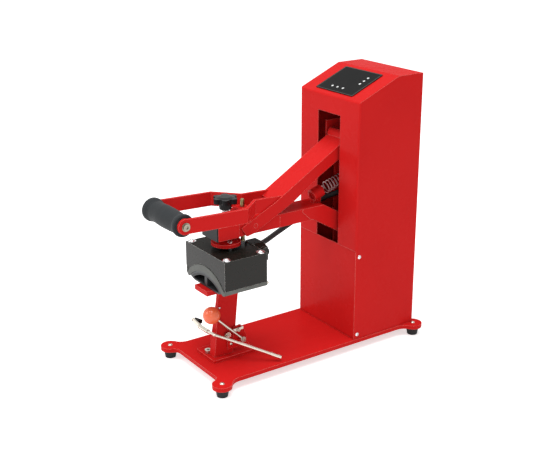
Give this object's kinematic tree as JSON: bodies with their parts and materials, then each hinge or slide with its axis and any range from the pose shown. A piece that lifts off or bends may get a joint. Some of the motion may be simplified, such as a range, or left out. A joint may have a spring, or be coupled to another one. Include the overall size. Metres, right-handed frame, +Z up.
{
  "type": "cap heat press",
  "caption": "Bench cap heat press: slotted tower on a lobed base, toggle lever with fork handle, curved heater head over a curved cap platen.",
  "frame": {"origin": "middle of the footprint, on the floor under the rubber feet", "axes": "+Z up, +Y to the back of the machine (tower), +X to the operator's right"},
  "size_m": [0.2578, 0.6127, 0.6043],
  "materials": {
    "red_paint": "semi-gloss powder coat",
    "zinc_steel": "zinc plated",
    "chrome": "bright plated",
    "nickel": "nickel plated, warm tint",
    "spring_steel": "wound wire",
    "foot_rubber": "matt",
    "grip_foam": "closed-cell foam, matt",
    "cable_rubber": "matt sheath",
    "black_plastic": "moulded, fine texture",
    "membrane": "printed film",
    "key_white": "clear white",
    "board_green": "lacquered board",
    "terminal_cream": "moulded",
    "switch_red": "moulded",
    "platen_dark": "dark coated casting",
    "silicone": "smooth",
    "ball_red": "polished",
    "bolt_bronze": "plated, warm tint",
    "cover_black": "satin black",
    "platen_alu": "cast, machined edge",
    "insulation": "fibre board",
    "brass": "dull plated"
  },
  "bodies": {
    "frame": {"base_plate": "red_paint", "rubber_feet": "foot_rubber", "foot_screws": "zinc_steel", "tower_shell": "red_paint", "rear_cover": "red_paint", "lower_front_panel": "red_paint", "small_screws": "chrome", "frame_plate_left": "red_paint", "frame_plate_right": "red_paint", "frame_bolts": "zinc_steel", "frame_spacers": "zinc_steel", "arm_pivot_pin": "zinc_steel", "control_membrane": "membrane", "panel_keys": "key_white", "control_board": "board_green", "board_posts": "zinc_steel", "relay": "black_plastic", "terminal_strip": "terminal_cream", "power_inlet": "black_plastic", "switch_bezel": "black_plastic", "post_foot": "red_paint", "post": "red_paint", "post_bolts": "zinc_steel", "platen_carrier": "red_paint", "lower_platen": "platen_dark", "silicone_pad": "silicone", "clamp_bracket": "red_paint", "return_spring": "spring_steel", "heater_cable": "cable_rubber"},
    "arm": {"arm_channel": "red_paint", "arm_tube": "red_paint", "front_block": "red_paint", "arm_end_cap": "black_plastic", "guide_block": "red_paint", "arm_bush": "zinc_steel", "lever_pin": "red_paint", "spring_boss": "red_paint", "screw_nut": "zinc_steel"},
    "lever": {"lever_channel": "red_paint", "fork_bars": "red_paint", "grip_tube": "zinc_steel", "grip_foam": "grip_foam", "grip_bolts": "bolt_bronze", "rear_roller": "black_plastic"},
    "head": {"head_cover": "cover_black", "heater_platen": "platen_alu", "insulation": "insulation", "backing_plate": "zinc_steel", "head_collar": "red_paint", "head_screws": "chrome", "guide_rod": "brass", "guide_nut": "chrome", "heat_sensor": "zinc_steel"},
    "pressure_screw": {"pressure_screw": "chrome", "pressure_knob": "black_plastic"},
    "brim_bar": {"clamp_bar": "nickel", "clamp_shoe": "black_plastic"},
    "ball_lever": {"clamp_lever": "zinc_steel", "clamp_ball": "ball_red"},
    "switch": {"power_switch": "switch_red"}
  },
  "joints": [
    {"name": "arm_lift", "type": "hinge", "parent": "frame", "child": "arm", "pos_m": [0, 0.1985, 0.237], "axis": [-1, 0, 0], "range_deg": [0, 13.5], "deforming": ["return_spring", "heater_cable"]},
    {"name": "lever_turn", "type": "hinge", "parent": "arm", "child": "lever", "pos_m": [0, -0.0965, 0.317], "axis": [-1, 0, 0], "range_deg": [0, 9.5]},
    {"name": "head_slide", "type": "slide", "parent": "arm", "child": "head", "axis": [0, 0, 1], "range_m": [0, 0.008], "deforming": ["heater_cable"]},
    {"name": "screw_turn", "type": "hinge", "parent": "head", "child": "pressure_screw", "pos_m": [0, -0.1505, 0.317], "axis": [0, 0, 1], "range_deg": [0, 1440]},
    {"name": "brim_bar_swing", "type": "hinge", "parent": "frame", "child": "brim_bar", "pos_m": [0.013, -0.1585, 0.0785], "axis": [-1, 0, 0], "range_deg": [-12, 2]},
    {"name": "ball_lever_swing", "type": "hinge", "parent": "frame", "child": "ball_lever", "pos_m": [0.025, -0.1285, 0.065], "axis": [-1, 0, 0], "range_deg": [-14, 0]},
    {"name": "switch_rock", "type": "hinge", "parent": "frame", "child": "switch", "pos_m": [-0.051, 0.2815, 0.117], "axis": [-1, 0, 0], "range_deg": [0, 14]}
  ],
  "couplings": [
    {"joint": "lever_turn", "follows": "arm_lift", "ratio": 0.7037},
    {"joint": "screw_turn", "follows": "head_slide", "rad_per_m": 3141.6}
  ]
}
